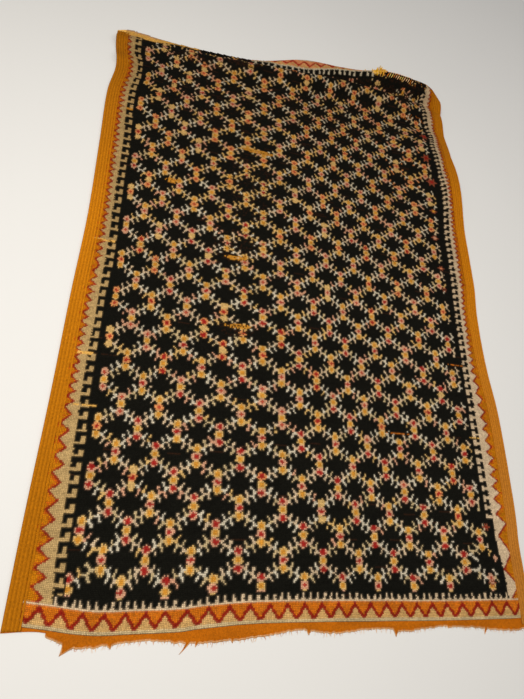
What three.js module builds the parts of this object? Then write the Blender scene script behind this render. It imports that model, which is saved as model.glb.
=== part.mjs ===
// Flat-lying Moroccan rug with a rucked far end. Sizes in mm: X across, Y along, +Z up, floor at z = 0.
import * as THREE from 'three';

// Driving sizes
const HALF_WIDTH = 733; // nominal distance from the middle line to either selvedge
const FIELD_START = -1012; // foot of the dark field, measured along Y
const BAND_START = -1061; // foot of the patterned end band
const FLAT_LIMIT = 760; // rows up to here are straight across
const PILE = 7; // thickness of the knotted part
const SKIRT = 3; // thickness of the plain woven end
const CORD_HIGH = 6.2; // selvedge thickness on a cord
const CORD_LOW = 4.6; // selvedge thickness between two cords
const CORD_PITCH = 9; // distance between neighbouring selvedge cords
const CORDS = 4; // cords in each selvedge
const EDGE = 3.4; // thickness at the outer edge of a selvedge
const PART_GAP = 0.3; // air between the cloth and a piece parted from it
const MIDDLE_X = 1.45; // moves the finished part so that its box is centred on the origin
const MIDDLE_Y = 27.83;

// Left and right edges of the cloth, looking from above
const LEFT_EDGE = [
  { y: -1090, x: -735 },
  { y: -810, x: -730 },
  { y: -495, x: -721 },
  { y: -190, x: -716 },
  { y: 90, x: -708 },
  { y: 400, x: -712 },
  { y: 640, x: -716 },
  { y: 770, x: -702 },
  { y: 900, x: -717 },
  { y: 1000, x: -716 },
];
const RIGHT_EDGE = [
  { y: -1090, x: 722 },
  { y: -920, x: 721 },
  { y: -850, x: 722 },
  { y: -790, x: 728 },
  { y: -690, x: 733 },
  { y: -430, x: 735 },
  { y: -245, x: 721 },
  { y: -50, x: 722 },
  { y: 90, x: 735 },
  { y: 570, x: 737 },
  { y: 700, x: 735 },
  { y: 840, x: 723 },
  { y: 980, x: 711 },
  { y: 1040, x: 700 },
  { y: 1100, x: 670 },
];

// Lower edge of the cloth itself and, below it, of the frayed strip
const LOWER_EDGE = [
  { x: -740, y: -1064, fray: -1066 },
  { x: -650, y: -1064, fray: -1074 },
  { x: -570, y: -1086, fray: -1101 },
  { x: -480, y: -1084, fray: -1095 },
  { x: -400, y: -1078, fray: -1091 },
  { x: -300, y: -1084, fray: -1099 },
  { x: -130, y: -1078, fray: -1090 },
  { x: -20, y: -1066, fray: -1077 },
  { x: 60, y: -1075, fray: -1087 },
  { x: 205, y: -1068, fray: -1079 },
  { x: 290, y: -1077, fray: -1088 },
  { x: 400, y: -1068, fray: -1079 },
  { x: 500, y: -1072, fray: -1083 },
  { x: 650, y: -1081, fray: -1094 },
  { x: 740, y: -1070, fray: -1081 },
];

// Long ruck near the far end: crest line, its height, width of the slopes before and behind it
const NEAR_RIDGE = [
  { x: -740, crest: 921, high: 12, front: 55, back: 18 },
  { x: -520, crest: 922, high: 7, front: 60, back: 20 },
  { x: -320, crest: 936, high: 17, front: 75, back: 34 },
  { x: -130, crest: 950, high: 30, front: 85, back: 42 },
  { x: 40, crest: 968, high: 34, front: 90, back: 50 },
  { x: 230, crest: 984, high: 36, front: 92, back: 55 },
  { x: 420, crest: 978, high: 36, front: 100, back: 80 },
  { x: 560, crest: 965, high: 28, front: 110, back: 110 },
  { x: 740, crest: 955, high: 12, front: 120, back: 90 },
];

// Last row before the end, which humps up in the right-hand third, and the end line of the cloth
const FAR_RIDGE = [
  { x: -740, crest: 934, high: 0, front: 60, back: 25, end: 958 },
  { x: -690, crest: 947, high: 0, front: 60, back: 25, end: 977 },
  { x: -520, crest: 943, high: 0, front: 60, back: 25, end: 973 },
  { x: -320, crest: 956, high: 0, front: 60, back: 25, end: 988 },
  { x: -130, crest: 1006, high: 6, front: 55, back: 22, end: 1016 },
  { x: 40, crest: 1064, high: 20, front: 78, back: 24, end: 1084 },
  { x: 230, crest: 1091, high: 20, front: 84, back: 26, end: 1117 },
  { x: 300, crest: 1091, high: 30, front: 84, back: 30, end: 1121 },
  { x: 420, crest: 1085, high: 65, front: 80, back: 38, end: 1121 },
  { x: 560, crest: 1073, high: 72, front: 85, back: 42, end: 1113 },
  { x: 640, crest: 1065, high: 62, front: 85, back: 42, end: 1105 },
  { x: 740, crest: 1001, high: 19, front: 85, back: 40, end: 1040 },
];

// Low swells elsewhere: centre, half sizes and height
const SWELLS = [
  { x: 745, y: 570, across: 140, along: 270, high: 24 },
  { x: 600, y: 730, across: 210, along: 200, high: 25 },
  { x: -725, y: 812, across: 95, along: 42, high: 12 },
];

// Torn points of the frayed strip: place, how far each reaches, half width at its root, sideways lean
const TEARS = [
  { x: -588, reach: 17, half: 12, lean: -17 },
  { x: -497, reach: 8, half: 4, lean: 4 },
  { x: -313, reach: 27, half: 1.6, lean: -25 },
  { x: -290, reach: 10, half: 3, lean: -6 },
  { x: -203, reach: 7, half: 3, lean: 1 },
  { x: 2, reach: 10, half: 4, lean: 0 },
  { x: 258, reach: 15, half: 6, lean: 0 },
  { x: 426, reach: 6, half: 4, lean: 1 },
  { x: 553, reach: 18, half: 1.6, lean: -9 },
];

// Loose yarn behind the far crest: sideways place of each strand's tip, its length, half width at the root
const TUFT_LEFT = 338;
const TUFT_RIGHT = 412;
const TUFT_ROOT = 7; // depth of the backing strip that holds the strands
const TUFT_THICK = 3;
const TUFT_RISE = 0.018; // lift off the floor, in mm per square mm of reach
const TUFT_STRANDS = [
  { tip: 332, long: 20, half: 3 },
  { tip: 347, long: 29, half: 3.5 },
  { tip: 363, long: 26, half: 3 },
  { tip: 380, long: 38, half: 4 },
  { tip: 411, long: 52, half: 3.5 },
  { tip: 420, long: 33, half: 3 },
  { tip: 434, long: 25, half: 3 },
];

// Smooth curve through a short table, straight beyond its ends
function along(table, key, name, at) {
  const last = table.length - 2;
  let k = 0;
  while (k < last && at > table[k + 1][key]) k += 1;
  const slope = (a, b) => (table[b][name] - table[a][name]) / (table[b][key] - table[a][key]);
  const start = k > 0 ? slope(k - 1, k + 1) : slope(0, 1);
  const finish = k < last ? slope(k, k + 2) : slope(k, k + 1);
  const span = table[k + 1][key] - table[k][key];
  const t = Math.min(Math.max((at - table[k][key]) / span, 0), 1);
  const p = table[k][name];
  const q = table[k + 1][name];
  return (
    p * (1 + 2 * t) * (1 - t) ** 2 +
    q * t * t * (3 - 2 * t) +
    span * start * t * (1 - t) ** 2 -
    span * finish * t * t * (1 - t)
  );
}

// One at the middle, nothing from a distance of one on
const swell = (d) => (d < 1 ? 0.5 + 0.5 * Math.cos(Math.PI * d) : 0);

// Height of a ruck at one place
function ruck(table, x, y) {
  const off = y - along(table, 'x', 'crest', x);
  const wide = along(table, 'x', off < 0 ? 'front' : 'back', x);
  return Math.max(along(table, 'x', 'high', x), 0) * swell(Math.abs(off) / wide);
}

// Height of the underside above the floor
function lift(x, y) {
  const low = SWELLS.map((s) => s.high * swell(Math.hypot((x - s.x) / s.across, (y - s.y) / s.along)));
  return Math.max(ruck(NEAR_RIDGE, x, y), ruck(FAR_RIDGE, x, y), ...low);
}

// Closed sheet from a grid of points, each with a top and an underside
function sheet(columns, rows, point) {
  const places = [];
  const faces = [];
  const wide = columns + 1;
  const layer = wide * (rows + 1);
  for (const side of ['top', 'under']) {
    for (let j = 0; j <= rows; j += 1) {
      for (let i = 0; i <= columns; i += 1) {
        const p = point(i, j);
        places.push(p.x - MIDDLE_X, p.y - MIDDLE_Y, p[side]);
      }
    }
  }
  for (let j = 0; j < rows; j += 1) {
    for (let i = 0; i < columns; i += 1) {
      const a = j * wide + i;
      const b = a + 1;
      const c = a + wide + 1;
      const d = a + wide;
      faces.push(a, b, c, a, c, d);
      faces.push(layer + a, layer + c, layer + b, layer + a, layer + d, layer + c);
    }
  }
  const wall = (a, b) => faces.push(a, layer + a, layer + b, a, layer + b, b);
  for (let i = 0; i < columns; i += 1) {
    wall(i, i + 1);
    wall(rows * wide + i + 1, rows * wide + i);
  }
  for (let j = 0; j < rows; j += 1) {
    wall((j + 1) * wide, j * wide);
    wall(j * wide + columns, (j + 1) * wide + columns);
  }
  const shape = new THREE.BufferGeometry();
  shape.setAttribute('position', new THREE.Float32BufferAttribute(places, 3));
  shape.setIndex(faces);
  shape.computeVertexNormals();
  return shape;
}

// Columns: both selvedges have a point on each cord and in each groove
const CORD_STEPS = 2 * CORDS + 1;
const FIELD_STEPS = 20;
const COLUMNS = 2 * CORD_STEPS + FIELD_STEPS;
const selvedge = (CORD_STEPS * CORD_PITCH) / 2;

function columnPlace(i, left, right) {
  if (i <= CORD_STEPS) return left + (i * CORD_PITCH) / 2;
  if (i >= COLUMNS - CORD_STEPS) return right - ((COLUMNS - i) * CORD_PITCH) / 2;
  const share = (i - CORD_STEPS) / FIELD_STEPS;
  return left + selvedge + share * (right - left - 2 * selvedge);
}

function columnThickness(i) {
  const n = Math.min(i, COLUMNS - i);
  if (n === 0) return EDGE;
  if (n > CORD_STEPS - 1) return PILE;
  return n % 2 === 1 ? CORD_HIGH : CORD_LOW;
}

// Rows: four at the lower end, even ones along the flat part, then from crest to crest to the end
const LOW_STEPS = 3;
const FLAT_STEPS = 30;
const NEAR_STEPS = 6;
const FAR_STEPS = 6;
const END_STEPS = 4;
const ROWS = LOW_STEPS + FLAT_STEPS + NEAR_STEPS + FAR_STEPS + END_STEPS;
const BAND_EDGE = 5; // the pile reaches its full thickness this far inside the end band

function rowPlace(j, x) {
  if (j === 0) return along(LOWER_EDGE, 'x', 'y', x);
  if (j === 1) return BAND_START;
  if (j === 2) return BAND_START + BAND_EDGE;
  const k = j - LOW_STEPS;
  if (k <= FLAT_STEPS) return FIELD_START + (k / FLAT_STEPS) * (FLAT_LIMIT - FIELD_START);
  const near = along(NEAR_RIDGE, 'x', 'crest', x);
  const far = along(FAR_RIDGE, 'x', 'crest', x);
  const m = k - FLAT_STEPS;
  if (m <= NEAR_STEPS) return FLAT_LIMIT + (m / NEAR_STEPS) * (near - FLAT_LIMIT);
  const n = m - NEAR_STEPS;
  if (n <= FAR_STEPS) return near + (n / FAR_STEPS) * (far - near);
  return far + ((n - FAR_STEPS) / END_STEPS) * (along(FAR_RIDGE, 'x', 'end', x) - far);
}

function rowThickness(j) {
  if (j <= 1) return SKIRT;
  return j === ROWS ? SKIRT : PILE;
}

function clothPoint(i, j) {
  const guess = columnPlace(i, -HALF_WIDTH, HALF_WIDTH);
  const level = rowPlace(j, guess);
  const left = along(LEFT_EDGE, 'y', 'x', level);
  const right = along(RIGHT_EDGE, 'y', 'x', level);
  const x = columnPlace(i, left, right);
  const y = rowPlace(j, x);
  const under = lift(x, y);
  return { x, y, under, top: under + Math.min(columnThickness(i), rowThickness(j)) };
}

// Flat ragged strip below the cloth: its upper side follows the cloth's own edge, column by column
const FRAY_LEFT = 10; // first and last column of the cloth that the strip reaches
const FRAY_RIGHT = COLUMNS - 1;
const FRAY_STEP = 11; // spacing of the small teeth
const FRAY_TOOTH = 1.6; // how far the small teeth reach

function frayStrip() {
  const shape = new THREE.Shape();
  const upper = (i) => {
    const p = clothPoint(i, 0);
    return { x: p.x, y: p.y - PART_GAP };
  };
  const lower = (x) => along(LOWER_EDGE, 'x', 'fray', x);
  const left = upper(FRAY_LEFT);
  const right = upper(FRAY_RIGHT);
  shape.moveTo(left.x, left.y);
  shape.lineTo(left.x, lower(left.x));
  const count = Math.round((right.x - left.x) / FRAY_STEP);
  for (let k = 1; k < count; k += 1) {
    const x = left.x + (k / count) * (right.x - left.x);
    const tear = TEARS.find((t) => Math.abs(t.x - x) <= FRAY_STEP / 2);
    const covered = TEARS.some((t) => Math.abs(t.x - x) <= t.half + FRAY_STEP / 3);
    if (tear) {
      shape.lineTo(tear.x - tear.half, lower(tear.x - tear.half));
      shape.lineTo(tear.x + tear.lean - 0.8, lower(tear.x) - tear.reach);
      shape.lineTo(tear.x + tear.lean + 0.8, lower(tear.x) - tear.reach);
      shape.lineTo(tear.x + tear.half, lower(tear.x + tear.half));
    } else if (!covered) {
      shape.lineTo(x, lower(x) - FRAY_TOOTH * Math.sin(2.3 * k) * Math.sin(0.7 * k));
    }
  }
  shape.lineTo(right.x, lower(right.x));
  for (let i = FRAY_RIGHT; i > FRAY_LEFT; i -= 1) {
    const p = upper(i);
    shape.lineTo(p.x, p.y);
  }
  const solid = new THREE.ExtrudeGeometry(shape, { depth: SKIRT, bevelEnabled: false, steps: 1 });
  return solid.translate(-MIDDLE_X, -MIDDLE_Y, 0);
}

// Matted yarn ends, lying on the floor at the root and lifting towards the tips
function tuft() {
  const shape = new THREE.Shape();
  const base = along(FAR_RIDGE, 'x', 'end', (TUFT_LEFT + TUFT_RIGHT) / 2) + 2 * PART_GAP;
  const rim = base + TUFT_ROOT;
  const spread = (TUFT_RIGHT - TUFT_LEFT) / TUFT_STRANDS.length;
  shape.moveTo(TUFT_LEFT, base);
  shape.lineTo(TUFT_RIGHT, base);
  for (let k = TUFT_STRANDS.length - 1; k >= 0; k -= 1) {
    const s = TUFT_STRANDS[k];
    const x = TUFT_LEFT + (k + 0.5) * spread;
    for (const share of [0, 0.35, 0.7, 1]) {
      const half = s.half + share * (0.8 - s.half);
      shape.lineTo(x + share * (s.tip - x) + half, rim + share * s.long);
    }
    for (const share of [1, 0.7, 0.35, 0]) {
      const half = s.half + share * (0.8 - s.half);
      shape.lineTo(x + share * (s.tip - x) - half, rim + share * s.long);
    }
  }
  const solid = new THREE.ExtrudeGeometry(shape, { depth: TUFT_THICK, bevelEnabled: false, steps: 1 });
  const place = solid.attributes.position;
  for (let n = 0; n < place.count; n += 1) {
    const reach = Math.max(place.getY(n) - rim, 0);
    place.setZ(n, place.getZ(n) + TUFT_RISE * reach * reach);
  }
  solid.computeVertexNormals();
  return solid.translate(-MIDDLE_X, -MIDDLE_Y, 0);
}

function part(name, geometry, color) {
  const material = new THREE.MeshStandardMaterial({ color, roughness: 0.95, metalness: 0 });
  material.name = name;
  const mesh = new THREE.Mesh(geometry, material);
  mesh.name = name;
  return mesh;
}

const group = new THREE.Group();
group.name = 'moroccan_rug';
group.add(part('rug_cloth', sheet(COLUMNS, ROWS, clothPoint), 0x2a2420));
group.add(part('lower_fray', frayStrip(), 0xb8651a));
group.add(part('end_tuft', tuft(), 0xd9a032));

export default group;
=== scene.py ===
"""Looks of a Moroccan wool rug that lies on a floor with its far end rucked up.

Cloth sizes are in millimetres, X across and Y along the rug, in the rug's own layout. put() moves them to the
frame and to metres. The weave is charted knot by knot: COLUMN counts knots across, ROW counts rows of knots along.
"""

import bpy
import numpy as np
from mathutils import Matrix


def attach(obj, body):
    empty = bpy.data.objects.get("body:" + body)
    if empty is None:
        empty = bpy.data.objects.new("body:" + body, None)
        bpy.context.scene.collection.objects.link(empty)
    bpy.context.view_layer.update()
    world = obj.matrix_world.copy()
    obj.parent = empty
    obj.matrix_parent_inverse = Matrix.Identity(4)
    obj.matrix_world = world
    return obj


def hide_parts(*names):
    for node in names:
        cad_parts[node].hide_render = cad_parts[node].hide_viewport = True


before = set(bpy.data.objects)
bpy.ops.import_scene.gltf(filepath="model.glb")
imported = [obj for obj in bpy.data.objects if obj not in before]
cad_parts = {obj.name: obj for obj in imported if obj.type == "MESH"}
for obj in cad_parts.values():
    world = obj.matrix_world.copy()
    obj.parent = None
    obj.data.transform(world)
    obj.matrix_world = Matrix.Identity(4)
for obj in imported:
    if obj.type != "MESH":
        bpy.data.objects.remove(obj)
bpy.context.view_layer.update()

# ---------------- camera
# The point of the layout that lies at the frame's origin
MIDDLE_X, MIDDLE_Y = 1.45, 27.83
# The photo's camera in the layout: its place, the direction of its picture's right side and its line of sight
EYE = (-551.0, -921.7, 1386.8)
RIGHTWARD = (0.9561, 0.0061, 0.2931)
FORWARD = (0.2667, 0.3966, -0.8784)
LENS, SENSOR = 25.75, 36.0


def unit(v):
    """A direction of length one."""
    return np.array(v) / np.linalg.norm(v)


def stand(thing, side, up, away, place):
    """Puts an object into the scene, turned by its own three axes, at a place in metres."""
    turn = np.eye(4)
    turn[:3] = np.stack([side, up, away, place], 1)
    thing.matrix_world = Matrix(turn.tolist())
    bpy.context.scene.collection.objects.link(thing)


def place_camera():
    """A camera at EYE whose picture's right side is RIGHTWARD and which looks along FORWARD."""
    data = bpy.data.cameras.new("camera")
    data.sensor_fit = "VERTICAL"
    data.sensor_height = SENSOR
    data.lens = LENS
    data.clip_end = 50
    camera = bpy.data.objects.new("camera", data)
    forward = unit(FORWARD)
    right = unit(RIGHTWARD - forward * np.dot(RIGHTWARD, forward))
    place = (np.array(EYE) - (MIDDLE_X, MIDDLE_Y, 0)) / 1000
    stand(camera, right, np.cross(right, forward), -forward, place)
    bpy.context.scene.camera = camera


place_camera()


# ---------------- tables and curves
def table(columns, *rows):
    """Named columns of numbers or of yarn names, one row for each place."""
    return {name: np.array(column) for name, column in zip(columns.split(), zip(*rows))}


def places(rows):
    """The rows of a table one by one, each with its columns' names."""
    return [dict(zip(rows, values)) for values in zip(*rows.values())]


def along(rows, key, name, at):
    """Smooth curve through a table: cubic pieces whose slope at each row is that of its two neighbours."""
    k, v = rows[key], rows[name]
    slope = np.empty(len(k))
    slope[1:-1] = (v[2:] - v[:-2]) / (k[2:] - k[:-2])
    slope[0] = (v[1] - v[0]) / (k[1] - k[0])
    slope[-1] = (v[-1] - v[-2]) / (k[-1] - k[-2])
    n = np.clip(np.searchsorted(k, at, side="right") - 1, 0, len(k) - 2)
    span = k[n + 1] - k[n]
    t = np.clip((at - k[n]) / span, 0, 1)
    return (
        v[n] * (1 + 2 * t) * (1 - t) ** 2
        + v[n + 1] * t * t * (3 - 2 * t)
        + span * slope[n] * t * (1 - t) ** 2
        - span * slope[n + 1] * t * t * (1 - t)
    )


# The outline: the two sides, and the lower end with the mean line of its torn edge
LEFT_EDGE = table(
    "y x", (-1090, -735), (-810, -730), (-495, -721), (-190, -716), (90, -708),
    (400, -712), (640, -716), (770, -702), (900, -717), (1000, -716),
)
RIGHT_EDGE = table(
    "y x", (-1090, 722), (-920, 721), (-850, 722), (-790, 728), (-690, 733), (-430, 735), (-245, 721),
    (-50, 722), (90, 735), (570, 737), (700, 735), (840, 723), (980, 711), (1040, 700), (1100, 670),
)
LOWER_EDGE = table(
    "x y fray", (-740, -1064, -1066), (-650, -1064, -1074), (-570, -1086, -1101), (-480, -1084, -1095),
    (-400, -1078, -1091), (-300, -1084, -1099), (-130, -1078, -1090), (-20, -1066, -1077), (60, -1075, -1087),
    (205, -1068, -1079), (290, -1077, -1088), (400, -1068, -1079), (500, -1072, -1083), (650, -1081, -1094),
    (740, -1070, -1081),
)
# The two long rucks: where their crests run, their heights, and how far they reach to the front and to the back
NEAR_RIDGE = table(
    "x crest high front back", (-740, 921, 12, 55, 18), (-520, 922, 7, 60, 20), (-320, 936, 17, 75, 34),
    (-130, 950, 30, 85, 42), (40, 968, 34, 90, 50), (230, 984, 36, 92, 55), (420, 978, 36, 100, 80),
    (560, 965, 28, 110, 110), (740, 955, 12, 120, 90),
)
FAR_RIDGE = table(
    "x crest high front back end", (-740, 934, 0, 60, 25, 958), (-690, 947, 0, 60, 25, 977),
    (-520, 943, 0, 60, 25, 973), (-320, 956, 0, 60, 25, 988), (-130, 1006, 6, 55, 22, 1016),
    (40, 1064, 20, 78, 24, 1084), (230, 1091, 20, 84, 26, 1117), (300, 1091, 30, 84, 30, 1121),
    (420, 1085, 65, 80, 38, 1121), (560, 1073, 72, 85, 42, 1113), (640, 1065, 62, 85, 42, 1105),
    (740, 1001, 19, 85, 40, 1040),
)
# Rounder swells, each with its half sizes
SWELLS = table(
    "x y across along high", (745, 570, 140, 270, 24), (600, 730, 210, 200, 25), (-725, 812, 95, 42, 12)
)
# Line beyond the far row of teeth, where the dark field ends
FIELD_END = table(
    "x y", (-740, 947), (-640, 947), (-575, 945), (-500, 960), (-380, 963), (-297, 977), (-235, 990), (-193, 989),
    (-149, 1001), (-105, 1008), (-61, 1008), (-15, 1016), (29, 1022), (77, 1032), (147, 1055), (221, 1076),
    (303, 1084), (360, 1084), (409, 1074), (540, 1062), (640, 1060), (740, 1030),
)
# How far the lower band strays from a straight line
BAND_DRIFT = table(
    "x off", (-740, 14), (-703, 12), (-639, 3), (-583, -6), (-527, -11), (-453, -10), (-335, -8), (-289, -3),
    (-128, 6), (209, 4), (373, 2), (631, 2), (740, 5),
)


def swell(d):
    """One at the middle and nothing from a distance of one on, along half a cosine wave."""
    return np.where(d < 1, 0.5 + 0.5 * np.cos(np.pi * np.minimum(d, 1)), 0)


def oval(x, y, mid_x, mid_y, wide, long):
    """Distance from the middle of an oval with these half sizes, one on its rim."""
    return np.hypot((x - mid_x) / wide, (y - mid_y) / long)


def ruck(ridge, x, y):
    """Height of a long ruck: a swell on each side of its crest line."""
    off = y - along(ridge, "x", "crest", x)
    wide = np.where(off < 0, along(ridge, "x", "front", x), along(ridge, "x", "back", x))
    return np.maximum(along(ridge, "x", "high", x), 0) * swell(np.abs(off) / wide)


def lift(x, y):
    """Height of the cloth's underside above the floor: the highest of the rucks and swells there."""
    high = np.maximum(ruck(NEAR_RIDGE, x, y), ruck(FAR_RIDGE, x, y))
    for s in places(SWELLS):
        high = np.maximum(high, s["high"] * swell(oval(x, y, s["x"], s["y"], s["across"], s["along"])))
    return high


def put(x, y, z):
    """Millimetres in the rug's layout to metres in the frame, as rows of three."""
    x, y, z = np.broadcast_arrays(x, y, z)
    return np.stack([x - MIDDLE_X, y - MIDDLE_Y, z], -1).reshape(-1, 3) / 1000


def hashed(a, b=0, seed=0):
    """Even scatter from 0 to 1, fixed for each pair of whole numbers."""
    v = np.sin(np.asarray(a) * 12.9898 + np.asarray(b) * 78.233 + seed * 37.719) * 43758.5453
    return v - np.floor(v)


def soft_noise(x, y, size, seed=0):
    """Smooth scatter from -1 to 1: hashed values on a square net of the given size, eased between its corners."""
    u, v = x / size, y / size
    a, b = np.floor(u), np.floor(v)
    s, t = u - a, v - b
    s, t = s * s * (3 - 2 * s), t * t * (3 - 2 * t)
    low = hashed(a, b, seed) * (1 - s) + hashed(a + 1, b, seed) * s
    high = hashed(a, b + 1, seed) * (1 - s) + hashed(a + 1, b + 1, seed) * s
    return 2 * (low * (1 - t) + high * t) - 1


def wave(turns):
    """Zigzag from -1 to 1 and back, one turn for each whole number, highest at whole numbers."""
    return 4 * np.abs(turns - np.floor(turns) - 0.5) - 1


# ---------------- yarn colours
def yarn(red, green, blue):
    """A screen colour as a linear one."""
    c = np.array([red, green, blue]) / 255
    return np.where(c <= 0.04045, c / 12.92, ((c + 0.055) / 1.055) ** 2.4)


YARNS = {
    "black": yarn(18, 18, 14),
    "cream": yarn(214, 188, 154),
    "ivory": yarn(214, 202, 178),
    "butter": yarn(204, 180, 136),
    "gold": yarn(210, 144, 50),
    "gold_rim": yarn(218, 178, 112),
    "red": yarn(162, 34, 30),
    "faded_red": yarn(176, 62, 42),
    "pink": yarn(214, 160, 128),
    "orange": yarn(194, 118, 13),
    "worn_cord": yarn(182, 116, 42),
    "rust": yarn(142, 30, 18),
    "straw": yarn(190, 158, 106),
    "sand": yarn(208, 164, 102),
    "flame": yarn(206, 110, 22),
    "brown": yarn(44, 26, 16),
    "ginger": yarn(190, 106, 28),
    "rose": yarn(240, 154, 106),
    "brick": yarn(146, 78, 54),
    "scarlet": yarn(178, 50, 36),
    "honey": yarn(244, 188, 96),
    "skirt": yarn(188, 102, 12),
    "pale": yarn(226, 176, 126),
    "amber": yarn(190, 88, 16),
    "apricot": yarn(222, 148, 92),
    "mustard": yarn(214, 164, 44),
}
NAMES = list(YARNS)
PALETTE = np.array([YARNS[n] for n in NAMES])
DYE = {n: k for k, n in enumerate(NAMES)}

# ---------------- knots: where they are
HALF_PITCH = 58.3  # from one column of flower stacks to the next, across
HALF_RISE = 65.8  # from one row of stacks to the next, along
KNOTS = 14  # knots in HALF_PITCH
LINES = 16  # rows of knots in HALF_RISE
FIRST_COLUMN, LAST_COLUMN = -26, 309
FIRST_ROW, LAST_ROW = -21, 535
BEND_FROM, BEND_TO = 700.0, 1130.0  # rows are straight before the rucks, and measured along the cloth from there
BEND_STEP = 2.0


def knot_across(column):
    """X of a knot: even steps, with the slow uneven drift of the warp, and borders that follow the edges."""
    c = column / KNOTS
    drift = (13 - 0.4 * c) * np.sin(2 * np.pi * (c - 1.7) / 11.3)
    return (c - 10) * HALF_PITCH - drift - 17


def edge_shift(x, y):
    """How far the side borders move with the cloth's edges: all of it at the edge, none in the field."""
    left = (along(LEFT_EDGE, "y", "x", y) + 733) * np.clip((-560 - x) / 170, 0, 1)
    right = (along(RIGHT_EDGE, "y", "x", y) - 733) * np.clip((x - 560) / 170, 0, 1)
    return left + right


def knot_along(row, x):
    """Y of each row at each X: even steps along the cloth, a little wider about row 400, so that rows crowd together
    where the cloth rises or falls."""
    flat = (row / LINES - 14) * HALF_RISE - 54 + 7 * swell(np.abs(row - 400) / 70)
    steps = np.arange(BEND_FROM, BEND_TO, BEND_STEP)
    high = lift(x[:, None], steps[None, :])
    pace = np.hypot(BEND_STEP, np.diff(high, axis=1))
    length = np.concatenate([np.zeros((len(x), 1)), np.cumsum(pace, 1)], 1) + BEND_FROM
    n = (length[None, :, :] <= flat[:, None, None]).sum(-1) - 1
    inside = np.clip(n, 0, len(steps) - 2)
    pick = np.arange(len(x))[None, :]
    start, stop = length[pick, inside], length[pick, inside + 1]
    bent = steps[inside] + BEND_STEP * (flat[:, None] - start) / (stop - start)
    return np.where(flat[:, None] < BEND_FROM, flat[:, None], bent)


# ---------------- knots: their colours
def near_line(u, v, ends):
    """Distance from a knot to a straight stitch between two points, counted in knots."""
    (ax, ay), (bx, by) = ends
    dx, dy = bx - ax, by - ay
    t = np.clip(((u - ax) * dx + (v - ay) * dy) / (dx * dx + dy * dy), 0, 1)
    return np.hypot(u - ax - t * dx, v - ay - t * dy)


# One quarter of the repeat, from a stack's middle to half way to the next stack: the cream stitches
STEM = ((2.6, 5.2), (4.5, 5.6))
DIAGONAL = ((4.5, 5.6), (5.7, 7.6))
BRIDGE = ((5.7, 7.6), (7.0, 8.0))
SHORT_BARB = ((4.5, 5.6), (6.7, 2.4))
LONG_BARB = ((5.6, 7.8), (4.0, 10.9))
SHORT_TIP, LONG_TIP = (6.9, 2.2), (4.2, 11.1)
STITCH, TIP = 0.6, 0.75  # half widths of a stitch line and of a barb's tip
FLOWER_STEP = 5.35  # rows between the flowers of one stack
FLOWER_WIDE, FLOWER_HIGH = 2.95, 2.8
HEART_WIDE, HEART_HIGH = 2.4, 1.9
LAST_STACK = 20
WORN_FROM = 480  # from this row on, the colours are faded throughout


def stitches(out, column, row, i, j, across, up):
    """A stitch line from each corner of stack i, j to the next stack, with short barbs across it. Each quarter is
    moved and tinted a little on its own."""
    quarter = (across > 0) * 2 + (up > 0)
    shake = hashed(i, j + 40 * quarter, 3) - 0.5
    slip = hashed(i * 3 + 1, j - 70 * quarter, 5) - 0.5
    joined = hashed(i + 9, j + 13 * quarter, 6) > 0.12
    u, v = np.abs(across), np.abs(up)
    a = u + 0.7 * shake + 0.35 * soft_noise(column, row, 2.6, 5)
    b = v + 0.8 * slip + 0.35 * soft_noise(column, row, 2.9, 6)
    short, long = near_line(a, b, SHORT_BARB), near_line(a, b, LONG_BARB)
    link = (near_line(u, v, STEM) < STITCH) | (near_line(u, b, DIAGONAL) < STITCH)
    link |= joined & (near_line(u, v, BRIDGE) < STITCH + 0.02)
    link |= np.minimum(short, long) < 0.56 + 0.12 * slip
    link |= (shake > 0.1) & (np.hypot(a - SHORT_TIP[0], b - SHORT_TIP[1]) < TIP)
    link |= (slip > 0.1) & (np.hypot(a - LONG_TIP[0], b - LONG_TIP[1]) < TIP)
    link &= (hashed(column, row, 8) > 0.03) & ((i > 0) | (across > 0)) & (row > -1)
    fade = np.clip(row / WORN_FROM, 0, 1)
    tint = hashed(i, j + 11 * (np.where(short < long, 0, 1) + 2 * quarter), 21)
    out[link] = DYE["cream"]
    out[link & (tint > 0.4)] = DYE["ivory"]
    out[link & (tint > 0.72)] = DYE["butter"]
    out[link & (tint > 0.97 - 0.2 * fade)] = DYE["gold_rim"]
    out[link & (tint < 0.05 + 0.1 * fade)] = DYE["pink"]


def flowers(out, column, row, i, j, u, v):
    """Three flowers in stack i, j, ovals with a heart. Red and golden ones change places from stack to stack."""
    fade = np.clip(row / WORN_FROM, 0, 1)
    middle = v < FLOWER_STEP / 2
    rise = np.where(middle, v, v - FLOWER_STEP)
    red = (np.mod((i + j) / 2, 2) == 1) == middle
    reach = np.hypot(u / FLOWER_WIDE, rise / FLOWER_HIGH)
    flower = reach < 1.0 + 0.3 * (hashed(column, row, 17) - 0.5)
    out[flower & red] = DYE["pink"]
    out[flower & red & (hashed(i, j, 12) < 0.7 * fade)] = DYE["apricot"]
    out[flower & ~red] = DYE["gold_rim"]
    out[(reach < 0.66) & ~red & (hashed(i, j, 18) > 0.3 * fade)] = DYE["gold"]
    ragged = 1.95 + 0.9 * (hashed(column, row, 19) > 0.45 + 0.55 * fade) - 0.5 * fade
    heart = red & (u < HEART_WIDE) & (np.abs(rise) < HEART_HIGH) & (u + np.abs(rise) < ragged)
    faded = hashed(i + 5, j, 16) < np.interp(row, (60, 300), (0.05, 0.8))
    out[heart & ~faded] = DYE["red"]
    out[heart & faded & (u + np.abs(rise) < 1.6)] = DYE["faded_red"]


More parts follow.
